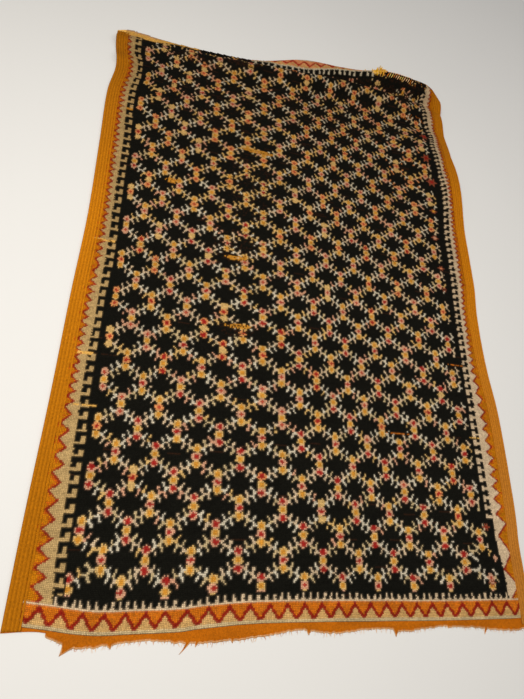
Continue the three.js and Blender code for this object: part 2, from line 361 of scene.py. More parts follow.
def lattice(column, row):
    """The field: stacks of three flowers joined by stitch lines. The outermost stacks follow the side borders."""
    place = column - along(LEFT_BORDER, "row", "stack", row) * np.clip((12 - column) / 9, 0, 1)
    place = place - along(RIGHT_BORDER, "row", "stack", row) * np.clip((column - 268) / 9, 0, 1)
    i = np.clip(np.round(place / KNOTS), 0, LAST_STACK)
    parity = np.mod(i, 2)
    j = 2 * np.round((row / LINES - parity) / 2) + parity
    across, up = place - i * KNOTS, row - j * LINES
    out = np.full(np.shape(across), DYE["black"])
    stitches(out, column, row, i, j, across, up)
    flowers(out, column, row, i, j, np.abs(across), np.abs(up))
    return out


# Where the parts of the side borders run, in columns, and how far the outermost stacks are pushed aside
LEFT_BORDER = table(
    "row post rim zigzag stack", (-21, -7, -11.5, -20.5, -5), (4, -8.5, -12.5, -20.5, -4.5),
    (12, -9.3, -13.8, -20.8, -3.5), (30, -9.3, -13.8, -21, -2.5), (50, -9.3, -13.8, -21.2, -1),
    (90, -9.3, -14.6, -22, -1), (110, -10.4, -15.1, -22, -1), (190, -11, -14.8, -21.3, -1.2),
    (210, -9.5, -14.1, -20, -1), (235, -9, -14.4, -20, -1), (260, -9.8, -15, -20.3, -1),
    (300, -9.8, -15.1, -20.7, -1), (330, -9.4, -14.5, -20.8, -1.4), (355, -9.8, -15, -21, -1.5),
    (375, -11, -15.7, -21, -2.8), (400, -11, -15.3, -20.6, -2), (420, -8.7, -13, -19, 0.8),
    (433, -8.7, -13, -19.2, -0.5), (447, -12, -16.5, -22, -2.5), (480, -11, -15.5, -22, -2.5),
)
RIGHT_BORDER = table(
    "row post band zigzag stack hook", (-21, 297, 300, 306, 7, 0), (8, 296.5, 299.5, 305.5, 6, 0),
    (30, 293, 297, 304.5, 2, 0), (45, 291.5, 296.4, 304, 1, 0), (60, 291.4, 295.6, 303.4, -0.5, 2),
    (135, 291.4, 295.6, 303, -0.5, 12.4), (180, 293.6, 298, 303, 0, 18.8), (250, 295.2, 299.7, 304.6, 0, 29.5),
    (300, 296.2, 300.3, 305.2, 0, 37.2), (320, 297.3, 301.5, 305.8, 1.5, 40), (345, 300, 303.6, 306.8, 4, 43.3),
    (375, 300.6, 304, 306.8, 3, 48.6), (400, 296.6, 300.4, 305, 1, 54), (420, 293.4, 297.4, 302.4, 0, 58.5),
    (440, 296.5, 300.3, 305, 2.5, 63), (465, 291.8, 296, 303, 1, 68), (535, 290, 294, 300, 1, 84),
)
# Turns of the red zigzags in the side borders, counted from the lower end
LEFT_ZIGZAG = table(
    "row turn", (-21, 0.2), (5, 2.5), (102, 11.5), (111, 12.5), (193, 24.5), (206, 26.5), (224, 28.5), (357, 49.5),
    (535, 78),
)
RIGHT_ZIGZAG = table(
    "row turn", (-21, -1), (0, 0), (23, 1), (44, 2), (67, 4), (94, 7), (123, 10), (187, 17), (380, 53), (535, 92)
)


HOOK_RISE = 8.3  # rows from one hook of the left border to the next
POST = 1.35  # half width of the posts in both side borders


def outer_wool(out, beyond, column, row, seed):
    """Orange with amber flecks from the zigzag's line outwards, more of them near it. Beyond counts columns."""
    out[beyond > 0] = DYE["orange"]
    out[(beyond > 0) & (hashed(column, row, seed) > 0.75 + 0.1 * (beyond - 3))] = DYE["amber"]


def left_border(out, column, row):
    """Square hooks beside the field, then a straw band, a red zigzag and orange."""
    still = column * 0.0
    post, rim, middle = (along(LEFT_BORDER, "row", name, row) for name in ("post", "rim", "zigzag"))
    turn = row / HOOK_RISE + 0.2 * soft_noise(still, row, 60, 4)
    part = np.mod(turn, 1) * HOOK_RISE
    tall = 4.6 + 1.2 * hashed(np.floor(turn), 1, 6)
    upright = (np.abs(column - post) < POST) & (part < tall)
    bar = (part < 1.9) & (column < post + 1.5)
    out[column < post + 2.8] = DYE["black"]
    out[(upright | bar) & (column < post + 2.8)] = DYE["straw"]
    out[bar & (hashed(np.floor(turn), 5, 6) > 0.97)] = DYE["gold"]
    out[column < rim + 0.5 * (hashed(row, 0, 3) > 0.7)] = DYE["straw"]
    swing = 2.2 + 0.9 * (row < 106) + 0.5 * soft_noise(still + 3, row, 7, 31)
    zig = middle - swing * wave(along(LEFT_ZIGZAG, "row", "turn", row))
    outer_wool(out, zig - column, column, row, 37)
    out[np.abs(column - zig) < 0.9] = DYE["rust"]
    return out


def right_border(out, column, row):
    """A ladder of short posts tied to the cream band, slanting further up, then a red zigzag and orange."""
    still = column * 0.0
    post, band, middle = (along(RIGHT_BORDER, "row", name, row) for name in ("post", "band", "zigzag"))
    part = np.mod(along(RIGHT_BORDER, "row", "hook", row), 1)
    lean = np.interp(row, (150, 210, 380, 400), (0, 1.5, 2.5, 4.5))
    slant = column - post - lean * (part - 0.31)
    upright = (np.abs(slant) < POST) & (part < 0.64)
    tie = (np.abs(part - np.where(row < 140, 0.32, 0.52)) < 0.12) & (slant > 0)
    beside = column > post - 3
    out[beside] = DYE["black"]
    out[beside & (row > 47) & (upright | tie)] = DYE["cream"]
    out[beside & (row < 40) & (np.hypot(column - 293, row - 19) < 2.2)] = DYE["pink"]
    out[column > band + 0.5 * (hashed(row, 0, 7) > 0.7)] = DYE["cream"]
    swing = np.interp(row, (0, 45, 60, 180, 210), (5.4, 4.4, 3.1, 2.5, 1.7))
    swing += 0.4 * soft_noise(still + 3, row, 7, 33)
    zig = middle + swing * wave(along(RIGHT_ZIGZAG, "row", "turn", row))
    outer_wool(out, column - zig, column, row, 38)
    out[(np.abs(column - zig) < 0.85) & (column > 294)] = DYE["rust"]
    return out


def comb(column, height, pitch, wide):
    """True on the knots of a comb's teeth, a pitch apart; each leans a little as it rises and is wider in places."""
    tooth = np.round(column / pitch)
    lean = 1.3 * (hashed(tooth, 4, 2) - 0.5) * (height > 2)
    middle = pitch * tooth + 0.9 * (hashed(tooth, 9, 2) - 0.5) + lean
    return np.abs(column - middle) < 0.7 + 0.4 * wide


# Tops of the zigzag in the lower band, counted from the left
BAND_ZIGZAG = table(
    "x turn", (-701, -0.8), (-661, 0), (-419, 5), (-374, 6), (-105, 11), (281, 19), (427, 22), (635, 26), (735, 28)
)


# Rows of the lower end: tops of the comb's teeth, the cream line below them and the band's last row
TEETH_TOP, BAND_TOP, BAND_FOOT = -4, -9, -20
TOOTH_STEP = 4.8  # columns from one tooth to the next
FIELD_LEFT, FIELD_RIGHT = -12, 300  # columns


def near_band(out, column, row, x):
    """Lower end: comb teeth on the dark field, a cream line, then orange over sand parted by a thick zigzag."""
    teeth = (row <= TEETH_TOP) & (row > BAND_TOP) & (column > FIELD_LEFT) & (column < FIELD_RIGHT)
    out[teeth] = DYE["black"]
    tall = TEETH_TOP - 1 - (hashed(np.round(column / TOOTH_STEP), 3, 2) > 0.5)
    wide = row < BAND_TOP + 2
    out[teeth & comb(column, row - BAND_TOP, TOOTH_STEP, wide) & (row <= tall)] = DYE["cream"]
    band = row <= BAND_TOP
    middle = -15.3 + 0.4 * soft_noise(column * 1.0, column * 0.0, 30, 3)
    zig = middle + 4.2 * wave(np.interp(x, BAND_ZIGZAG["x"], BAND_ZIGZAG["turn"]))
    out[band] = DYE["flame"]
    out[band & (hashed(column, row, 39) > 0.75)] = DYE["ginger"]
    out[band & (row < zig)] = DYE["sand"]
    out[band & (np.abs(row - zig) < 1.8)] = DYE["rust"]
    out[row == BAND_TOP] = DYE["cream"]
    out[row <= BAND_FOOT] = DYE["butter"]
    return out


# Far end, in mm across: the rose band, the plain strip at the left and the frayed place
ROSE_LEFT, ROSE_RIGHT = -185, 615
STRIP_RIGHT = -285
FRAYED_LEFT, FRAYED_RIGHT = 372, 612
# Far end, in rows past the dark field: the rose band, and where the skirt's colour begins
ROSE_FROM, ROSE_TO, PLAIN_FROM = 1.2, 9.5, 11


def far_end(out, column, row, x):
    """Far end: teeth and a rose band with a red zigzag; a plain yellow strip at the left, which the fold narrows;
    at the right a place where the pile is frayed away."""
    past = row - END_ROW[column - FIRST_COLUMN]
    middle = (x > ROSE_LEFT) & (x < ROSE_RIGHT)
    out[middle & (past > -8) & (past <= 0)] = DYE["black"]
    out[middle & (past > -5.2) & (past <= 0) & comb(column, -past, 6.1, past < -2.5)] = DYE["ivory"]
    out[middle & (past > 0)] = DYE["ivory"]
    out[middle & (past > PLAIN_FROM)] = DYE["skirt"]
    zig = 5.4 + 2.4 * wave((x - 43) / 52)
    out[middle & (past > ROSE_FROM) & (past < ROSE_TO)] = DYE["rose"]
    out[middle & (past > ROSE_FROM) & (past < zig) & (hashed(column, row, 43) > 0.4)] = DYE["gold_rim"]
    out[middle & (np.abs(past - zig) < 1.2)] = DYE["scarlet"]
    turned = (x < STRIP_RIGHT) & (past > 0)
    strip = turned & (past > np.interp(x, (-600, -480, -410, -370), (0, 1.2, 2.0, 6)))
    out[turned] = DYE["black"]
    out[strip] = DYE["honey"]
    out[strip & (past > 4.5)] = DYE["pale"]
    ragged = 5 * soft_noise(x, past * 9, 22, 41)
    frayed = (x > FRAYED_LEFT + ragged) & (x < FRAYED_RIGHT) & (past > -6) & (past < 8 + ragged)
    speck = hashed(column, row, 15)
    out[frayed] = DYE["black"]
    out[frayed & (speck > 0.7)] = DYE["brown"]
    out[frayed & (speck > 0.9) & (past > -4)] = DYE["ginger"]
    out[frayed & (speck > 0.95) & (past > -4)] = DYE["gold_rim"]
    return out


FAR_ROWS = 430  # the dark field ends beyond this row everywhere


def end_rows(columns):
    """Row number at which the dark field ends, for each column of knots."""
    rows = np.arange(FAR_ROWS, LAST_ROW)
    x = knot_across(columns)
    y = knot_along(rows, x)
    ends = along(FIELD_END, "x", "y", x)
    return np.array([np.interp(end, y[:, n], rows) for n, end in enumerate(ends)])


END_ROW = end_rows(np.arange(FIRST_COLUMN, LAST_COLUMN + 1))

# Places where the wool is worn through, stained or mended: half sizes in mm, share of knots touched
WEAR = table(
    "x y across along share dye",
    (-629, -526, 30, 3, 0.8, "honey"), (-602, -377, 52, 3, 0.7, "brown"), (-650, -377, 24, 4, 0.9, "honey"),
    (323, -531, 52, 2.2, 0.8, "ginger"), (584, -265, 36, 2.2, 0.7, "ginger"), (615, -521, 28, 2.2, 0.7, "honey"),
    (-644, 6, 34, 4, 0.8, "honey"), (-152, 512, 62, 9, 0.85, "gold"), (-225, 24, 38, 9, 0.9, "gold"),
    (-212, -228, 44, 9, 0.9, "gold"), (-457, 292, 26, 11, 0.75, "gold"), (-230, 70, 80, 70, 0.2, "brown"),
    (-180, 330, 90, 160, 0.12, "brown"), (-212, -240, 64, 26, 0.3, "brown"), (-40, 985, 75, 30, 0.6, "brown"),
    (250, 1040, 130, 40, 0.3, "brown"), (480, 1010, 130, 50, 0.2, "brown"), (-230, 960, 90, 40, 0.5, "brown"),
    (-420, 905, 130, 16, 0.35, "brown"), (500, 1046, 90, 22, 0.3, "black"), (560, 905, 60, 14, 0.12, "ginger"),
    (-100, 700, 420, 150, 0.05, "brown"), (250, 820, 300, 110, 0.08, "brown"),
)
# Single flowers beside the right border, by column and row
STARS = table(
    "column row size heart", (289.5, 374, 5.4, "red"), (284, 400, 5, "rust"), (287, 432, 5, "red"),
    (286.5, 338, 3.4, "gold"), (283.5, 305, 3.6, "pink"), (285, 271, 3.2, "rose"),
    (285, 248, 2.6, "brown"), (289, 41, 3, "rust"), (287, 2, 3.2, "pink"),
)
# Large ovals in which the stitches are stained golden and rusty: middles and half sizes in mm
GOLDEN, RUSTY = (-190, 280, 190, 480), (450, 600, 170, 190)


def worn(out, column, row, x, y):
    """Adds the single stars, whose rims swing in and out six times, scatters another yarn over an oval at each place
    of wear, and stains the stitches, less towards the rims of the large ovals."""
    for star in places(STARS):
        a, b = column - star["column"], (row - star["row"]) * 1.15
        far = np.hypot(a, b) / (0.8 + 0.28 * np.cos(6 * np.arctan2(b, a)))
        out[far < star["size"]] = DYE["brick"]
        out[far < star["size"] * 0.5] = DYE[star["heart"]]
    for n, w in enumerate(places(WEAR)):
        far = oval(x, y - 2 * soft_noise(x, y * 0, 60, n), w["x"], w["y"], w["across"], w["along"])
        out[(far < 1) & (hashed(column, row, 50 + n) < w["share"])] = DYE[w["dye"]]
    thread = np.isin(out, [DYE[name] for name in ("cream", "ivory", "butter", "pink")])
    third, rows = np.floor(column / 3), row // 3
    out[thread & (hashed(third, rows, 49) > 0.3 + 0.7 * oval(x, y, *GOLDEN))] = DYE["gold_rim"]
    out[thread & (hashed(third, rows, 48) > 0.4 + 0.6 * oval(x, y, *RUSTY))] = DYE["apricot"]
    return out


def stray_wefts(out, column, row):
    """Short runs of one row where the brown weft shows through the dark wool."""
    run = np.floor((column + 40 * hashed(row, 7, 1)) / 9)
    shows = hashed(run, row, 60) > 0.994 - 0.02 * (row > 300)
    out[shows & (out == DYE["black"])] = DYE["brown"]
    return out


def chart(column, row, x, y):
    """Yarn of every knot, as a number in NAMES."""
    out = lattice(column, row)
    out = left_border(out, column, row)
    out = right_border(out, column, row)
    out = near_band(out, column, row, x)
    out = stray_wefts(out, column, row)
    out = worn(out, column, row, x, y)
    return far_end(out, column, row, x)


# ---------------- materials
def new_group(name, ins, outs):
    """An empty node group with the named inputs and outputs."""
    group = bpy.data.node_groups.new(name, "ShaderNodeTree")
    for label, kind, value in ins:
        socket = group.interface.new_socket(name=label, in_out="INPUT", socket_type=kind)
        if value is not None:
            socket.default_value = value
    for label, kind in outs:
        group.interface.new_socket(name=label, in_out="OUTPUT", socket_type=kind)
    return group


class Net:
    """Short names for adding and joining nodes of one tree. Inputs go by name, or by number after an underscore."""

    def __init__(self, tree):
        self.tree = tree

    def add(self, kind, _set=None, **inputs):
        node = self.tree.nodes.new("ShaderNode" + kind)
        for name, value in (_set or {}).items():
            setattr(node, name, value)
        for name, value in inputs.items():
            key = int(name[1:]) if name[0] == "_" and name[1:].isdigit() else name.replace("_", " ")
            self.feed(node.inputs[key], value)
        return node

    def feed(self, socket, value):
        if isinstance(value, bpy.types.NodeSocket):
            self.tree.links.new(value, socket)
        else:
            socket.default_value = value

    def math(self, operation, a, b=0.0, c=0.0):
        return self.add("Math", {"operation": operation}, _0=a, _1=b, _2=c).outputs[0]

    def mix(self, share, a, b, blend="MIX"):
        node = self.add("Mix", {"data_type": "RGBA", "blend_type": blend})
        self.feed(node.inputs["Factor"], share)
        self.feed(node.inputs[6], a)
        self.feed(node.inputs[7], b)
        return node.outputs[2]


def wool_group():
    """Wool: fine fibres, small clumps and slow fading, in colour and in height."""
    group = new_group(
        "wool_fibre",
        [
            ("Color", "NodeSocketColor", (0.5, 0.5, 0.5, 1)),
            ("Place", "NodeSocketVector", None),
            ("Fibre Size", "NodeSocketFloat", 900.0),
            ("Fade", "NodeSocketFloat", 0.25),
        ],
        [("Color", "NodeSocketColor"), ("Height", "NodeSocketFloat")],
    )
    net = Net(group)
    given = group.nodes.new("NodeGroupInput")
    result = group.nodes.new("NodeGroupOutput")
    place = given.outputs["Place"]
    fibre = net.add("TexNoise", Vector=place, Scale=given.outputs["Fibre Size"], Detail=3.0, Roughness=0.7)
    clump = net.add("TexNoise", Vector=place, Scale=190.0, Detail=2.0, Roughness=0.6)
    slow = net.add("TexNoise", Vector=place, Scale=3.1, Detail=3.0, Roughness=0.6)
    grain = net.math("MULTIPLY_ADD", fibre.outputs["Fac"], 0.9, 0.55)
    lump = net.math("MULTIPLY_ADD", clump.outputs["Fac"], 0.7, 0.65)
    fade = net.math("MULTIPLY_ADD", slow.outputs["Fac"], given.outputs["Fade"], 1.0)
    fade = net.math("SUBTRACT", fade, net.math("MULTIPLY", given.outputs["Fade"], 0.5))
    tone = net.math("MULTIPLY", net.math("MULTIPLY", grain, lump), fade)
    shade = net.add("CombineColor", _0=tone, _1=tone, _2=tone).outputs[0]
    net.feed(result.inputs["Color"], net.mix(1.0, given.outputs["Color"], shade, "MULTIPLY"))
    high = net.math("MULTIPLY_ADD", fibre.outputs["Fac"], 0.55, net.math("MULTIPLY", clump.outputs["Fac"], 0.8))
    net.feed(result.inputs["Height"], high)
    return group


def loop_group():
    """Domes on a net of whole numbers: the square root of the product of two sine waves."""
    outs = [("Height", "NodeSocketFloat"), ("Gap", "NodeSocketFloat")]
    group = new_group("woven_loops", [("Net", "NodeSocketVector", None)], outs)
    net = Net(group)
    given = group.nodes.new("NodeGroupInput")
    result = group.nodes.new("NodeGroupOutput")
    parts = net.add("SeparateXYZ", Vector=given.outputs["Net"])
    across, up = (net.math("SINE", net.math("MULTIPLY", parts.outputs[k], np.pi)) for k in (0, 1))
    dome = net.math("POWER", net.math("ABSOLUTE", net.math("MULTIPLY", across, up)), 0.5)
    net.feed(result.inputs["Height"], dome)
    net.feed(result.inputs["Gap"], net.math("SUBTRACT", 1.0, dome))
    return group


WOOL = wool_group()
LOOPS = loop_group()


def wool_material(name, fibre, fade, loops, depth, dark):
    """Matt wool in the colours carried by the piece, with loops and fibres as a relief of the given depth in metres.
    Loops is the height of the loops in it, and dark how far the gaps between them are darkened as painted shade."""
    material = bpy.data.materials.new(name)
    material.use_nodes = True
    tree = material.node_tree
    net = Net(tree)
    shader = tree.nodes["Principled BSDF"]
    place = net.add("TexCoord").outputs["Object"]
    dyed = net.add("Attribute", {"attribute_name": "dye"}).outputs["Color"]
    wool = net.add("Group", {"node_tree": WOOL}, Color=dyed, Place=place, Fibre_Size=fibre, Fade=fade)
    laid = net.add("Attribute", {"attribute_name": "net"}).outputs["Vector"]
    woven = net.add("Group", {"node_tree": LOOPS}, Net=laid)
    # Painted shade: the gaps between the loops are mixed towards near black by the share dark.
    gap_shade = net.math("MULTIPLY", woven.outputs["Gap"], dark)
    color = net.mix(gap_shade, wool.outputs["Color"], (0.006, 0.004, 0.003, 1))
    net.feed(shader.inputs["Base Color"], color)
    high = net.math("MULTIPLY_ADD", woven.outputs["Height"], loops, wool.outputs["Height"])
    bump = net.add("Bump", Height=high, Distance=depth, Strength=0.85)
    net.feed(shader.inputs["Normal"], bump.outputs["Normal"])
    shader.inputs["Roughness"].default_value = 0.92
    shader.inputs["Specular IOR Level"].default_value = 0.04
    return material


# dark is the share of painted shade in the gaps between the loops
PILE_WOOL = wool_material("pile_wool", fibre=1100.0, fade=0.35, loops=1.3, depth=0.0016, dark=0.36)
CORD_WOOL = wool_material("cord_wool", fibre=1300.0, fade=0.3, loops=0.8, depth=0.0009, dark=0.35)
PLAIN_WEAVE = wool_material("plain_weave", fibre=1500.0, fade=0.3, loops=0.9, depth=0.0007, dark=0.4)
YARN_WOOL = wool_material("yarn_wool", fibre=1600.0, fade=0.2, loops=0.5, depth=0.0005, dark=0.2)


# ---------------- meshes
def make_piece(name, points, faces, dye, net, material, domain="FACE"):
    """A mesh object from whole arrays, with its yarn colours and its net of loops as attributes."""
    mesh = bpy.data.meshes.new(name)
    mesh.from_pydata(points.tolist(), [], faces.tolist())
    mesh.polygons.foreach_set("use_smooth", np.ones(len(faces), bool))
    paint = mesh.attributes.new("dye", "FLOAT_COLOR", domain)
    paint.data.foreach_set("color", np.concatenate([dye, np.ones((len(dye), 1))], 1).astype(np.float32).ravel())
    loops = mesh.attributes.new("net", "FLOAT_VECTOR", "POINT")
    loops.data.foreach_set("vector", net.astype(np.float32).ravel())
    mesh.materials.append(material)
    mesh.update()
    piece = bpy.data.objects.new(name, mesh)
    bpy.context.scene.collection.objects.link(piece)
    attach(piece, "root")
    return piece


def grid_faces(rows, columns):
    """Four corners of every cell of a grid whose points run along the columns first, as (row, column, corner)."""
    a = np.arange(rows)[:, None] * (columns + 1) + np.arange(columns)[None, :]
    return np.stack([a, a + 1, a + columns + 2, a + columns + 1], -1)


def wall_faces(p, q, count):
    """A strip of faces from the edge p to q straight down to the points that come count later."""
    return np.stack([p, p + count, q + count, q], -1)


def middles(v):
    """Middle of each cell of a grid, from two opposite corners."""
    return (v[:-1, :-1] + v[1:, 1:]) / 2


def flat_net(u, v):
    """The net of loops for each point of a grid, as rows of three."""
    return np.stack(np.broadcast_arrays(u, v, 0.0), -1).reshape(-1, 3)


def fuzzed(dye):
    """Colours at the four corners of each knot: mostly its own, and by the share FUZZ the mean of those around."""
    padded = np.pad(dye, ((1, 1), (1, 1), (0, 0)), mode="edge")
    mixed = (padded[:-1, :-1] + padded[1:, :-1] + padded[:-1, 1:] + padded[1:, 1:]) / 4
    corners = np.stack([mixed[:-1, :-1], mixed[:-1, 1:], mixed[1:, 1:], mixed[1:, :-1]], 2)
    return (1 - FUZZ) * dye[:, :, None] + FUZZ * corners


PILE_TOP, PILE_FOOT = 7.0, 1.6
FUZZ = 0.35


def pile_strip(name, first, last):
    """Knots between two rows. Each knot is one face of its yarn's colour, a little out of line; light knots stand
    higher than black ones. Faces beyond the cloth's end are left out, and every open side gets a wall down into the
    ground weave."""
    columns = np.arange(FIRST_COLUMN, LAST_COLUMN + 1)
    rows = np.arange(first, last + 1)
    side = (np.append(columns, LAST_COLUMN + 1) - 0.5)[None, :]
    cut = (np.append(rows, last + 1) - 0.5)[:, None]
    x0 = knot_across(side[0])
    y = knot_along(cut[:, 0], x0)
    x = x0 + edge_shift(x0[None, :], y)
    inner = (side > side[0, 0]) & (side < side[0, -1]) & (cut > cut[0]) & (cut < cut[-1])
    x = x + 1.1 * (hashed(side * 2, cut * 2, 31) - 0.5) * inner
    y = y + 1.5 * (hashed(side * 2, cut * 2, 32) - 0.5) * inner
    y = y + 1.2 * soft_noise(x, y, 120, 5) * (cut > FIRST_ROW)
    y = y + along(BAND_DRIFT, "x", "off", x) * swell(np.maximum(cut - BAND_TOP, 0) / 34)
    mid_x, mid_y = middles(x), middles(y)
    column, row = np.meshgrid(columns, rows)
    yarns = chart(column, row, mid_x, mid_y)

    raised = np.pad(np.where(yarns == DYE["black"], 0.0, 0.125), 1)
    raised = raised[:-1, :-1] + raised[1:, :-1] + raised[:-1, 1:] + raised[1:, 1:]
    rough = 0.35 * (hashed(side * 2, cut * 2, 4) - 0.5) + 0.4 * soft_noise(x, y, 26, 9)
    edge = np.minimum(side - side[0, 0], side[0, -1] - side)
    fore = np.maximum(cut - FIRST_ROW + 0.5, 0)
    thick = PILE_TOP - 0.5 + raised + rough - 1.0 * np.exp(-edge / 1.5) - 3.2 * np.exp(-fore / 1.5)

    keep = mid_y < along(FAR_RIDGE, "x", "end", mid_x) - 3
    kept = np.zeros((len(rows) + 2, len(columns) + 2), bool)
    kept[1:-1, 1:-1] = keep
    kept[0] = kept[1] if first > FIRST_ROW else False
    kept[-1] = kept[-2] if last < LAST_ROW else False
    beside = (kept[:-2, 1:-1], kept[1:-1, 2:], kept[2:, 1:-1], kept[1:-1, :-2])
    cells = grid_faces(len(rows), len(columns))
    faces, wall_yarns = [cells[keep]], []
    for corner, neighbour in enumerate(beside):
        bare = keep & ~neighbour
        faces.append(wall_faces(cells[bare][:, corner], cells[bare][:, (corner + 1) % 4], x.size))
        wall_yarns.append(yarns[bare])
    faces = np.concatenate(faces)

    tone = (0.82 + 0.36 * hashed(column, row, 2)) * (1 + 0.12 * soft_noise(mid_x * 0.2, mid_y, 9, 14))
    far = np.clip((mid_y + 700) / 1700, 0, 1)[..., None]
    dye = PALETTE[yarns] * tone[..., None] * (1 - far * (0.28, 0.32, 0.38))
    wall_dye = np.repeat(PALETTE[np.concatenate(wall_yarns)], 4, 0)
    dye = np.concatenate([fuzzed(dye)[keep].reshape(-1, 3), wall_dye])
    points = np.concatenate([put(x, y, lift(x, y) + thick), put(x, y, lift(x, y) + PILE_FOOT)])
    net = flat_net(side + 0.5, cut + 0.5)
    net = np.concatenate([net, net + 0.5])
    used, again = np.unique(faces, return_inverse=True)
    faces = again.reshape(faces.shape)
    return make_piece(name, points[used], faces, dye, net[used], PILE_WOOL, "CORNER")


def closed_slab(name, x, y, under, top, dye_top, dye_under, net, material):
    """A closed sheet over a grid: upper side, underside and four walls. Colours are given for each cell."""
    cells = grid_faces(x.shape[0] - 1, x.shape[1] - 1)
    upper = cells.reshape(-1, 4)
    lower = upper[:, ::-1] + x.size
    sides = ((cells[0], 0, 1), (cells[-1], 2, 3), (cells[:, -1], 1, 2), (cells[:, 0], 3, 0))
    walls = [wall_faces(row[:, a], row[:, b], x.size) for row, a, b in sides]
    side_dye = [dye_top[0], dye_top[-1], dye_top[:, -1], dye_top[:, 0]]
    faces = np.concatenate([upper, lower] + walls)
    dye = np.concatenate([dye_top.reshape(-1, 3), dye_under.reshape(-1, 3)] + side_dye)
    points = np.concatenate([put(x, y, top), put(x, y, under)])
    return make_piece(name, points, faces, dye, np.concatenate([net, net]), material)


GROUND_TOP = 2.6


def ground_weave():
    """The woven ground under the pile: the whole outline, skirt coloured at the sides and the lower end, yellow at
    the far end, dark under the field. Its rows are even on the flat and follow the crests of the rucks beyond."""
    across = np.concatenate([np.linspace(-733, -690, 7), np.linspace(-680, 680, 100), np.linspace(690, 733, 7)])
    low = along(LOWER_EDGE, "x", "y", across)
    end = along(FAR_RIDGE, "x", "end", across)
    near = along(NEAR_RIDGE, "x", "crest", across)
    far = along(FAR_RIDGE, "x", "crest", across)
    flat = np.linspace(-1055, BEND_FROM, 90)[:, None] + 0 * across
    parts = [low + np.linspace(0, 1, 4)[:, None] * (-1060 - low), flat]
    for start, stop, steps in ((flat[-1], near, 24), (near, far, 22), (far, end, 16)):
        parts.append(start + (np.arange(1, steps + 1) / steps)[:, None] * (stop - start))
    y = np.concatenate(parts)
    x = across + edge_shift(across[None, :], y)
    x[:, 0] = along(LEFT_EDGE, "y", "x", y[:, 0])
    x[:, -1] = along(RIGHT_EDGE, "y", "x", y[:, -1])
    under = lift(x, y)
    mid_x, mid_y = middles(x), middles(y)
    inner = (np.abs(mid_x) < 645) & (mid_y > -1012) & (mid_y < along(FIELD_END, "x", "y", mid_x))
    bare = np.where((mid_y > 930)[..., None], YARNS["honey"], YARNS["skirt"])
    dye = np.where(inner[..., None], YARNS["brown"] * 0.8, bare)
    fleck = hashed(np.floor(mid_x / 29), np.floor(mid_y / 33), 77)
    back = np.where((inner & (fleck > 0.7))[..., None], YARNS["ginger"] * 0.8, dye)
    net = flat_net(x / 2.1, y / 2.1)
    return closed_slab("ground_weave", x, y, under, under + GROUND_TOP, dye, back, net, PLAIN_WEAVE)


CORDS, CORD_PITCH = 4, 9.0
SELVEDGE = 42.0


def selvedge(name, edge, inward):
    """Four round cords side by side, a half wave each, wrapped in orange wool; the grooves are painted darker as
    shade and the cord tops painted lighter. Inward is 1 at the left edge and -1 at the right one."""
    left = inward > 0
    steps, rows = 6 * CORDS + 4, 420
    off = np.linspace(0, SELVEDGE, steps + 1)
    line = along(edge, "y", "x", 0.0) + inward * off
    start = along(LOWER_EDGE, "x", "y", line) + 1.5
    stop = along(FAR_RIDGE, "x", "end", line) - (21 if left else 1)
    y = start + (np.arange(rows + 1) / rows)[:, None] * (stop - start)
    x = along(edge, "y", "x", y) + inward * off
    hump = np.abs(np.sin(np.pi * off / CORD_PITCH + 0.15))
    profile = 4.4 + 2.3 * hump**0.7 + 0.9 * (off > CORDS * CORD_PITCH)
    profile[0] = 3.2
    top = lift(x, y) + profile + 0.25 * soft_noise(off + 0 * y, y, 18, 3)
    low = lift(x, y) + 0.8
    # Painted shade and light: the colour is darkened in the grooves between the cords and lightened on their tops.
    shade = np.clip(0.72 + 0.4 * hump, 0, 1.1)
    tone = (shade[:-1] + shade[1:]) / 2 * (0.9 + 0.2 * hashed(np.arange(rows)[:, None], np.arange(steps), 6))
    # Towards the lower end the left cords turn to a 0.75 darker copy of the orange and the right ones to the worn
    # cord yarn; both grow darker towards the far end.
    far = np.clip((y[:-1, :-1] - 100) / 900, 0, 1)[..., None]
    near = np.clip((0 - y[:-1, :-1]) / 900, 0, 1)[..., None]
    near_end_wool = 0.75 * YARNS["orange"] if left else YARNS["worn_cord"]
    wool = YARNS["orange"] * (1 - near) + near_end_wool * near
    dye = wool * tone[..., None] * (1.02 - (0.44 if left else 0.3) * far)
    net = flat_net(off / 3.0, y / 2.4)
    if not left:
        x, y, top, low, dye = (v[:, ::-1] for v in (x, y, top, low, dye))
        net = net.reshape(rows + 1, steps + 1, 3)[:, ::-1].reshape(-1, 3)
    # The underside gets the top colours darkened to 0.7 as painted shade.
    return closed_slab(name, x, y, low, top, dye, dye * 0.7, net, CORD_WOOL)


# Torn points of the skirt's lower edge
TEARS = table(
    "x reach half lean", (-588, 17, 12, -17), (-497, 8, 4, 4), (-313, 27, 2.2, -25), (-290, 10, 3, -6),
    (-203, 7, 3, 1), (2, 10, 4, 0), (258, 15, 6, 0), (426, 6, 4, 1), (553, 18, 2.2, -9),
)
SKIRT_LEFT, SKIRT_RIGHT, SKIRT_STEP = -640.0, 729.0, 1.6
SKIRT_TOP = 2.9


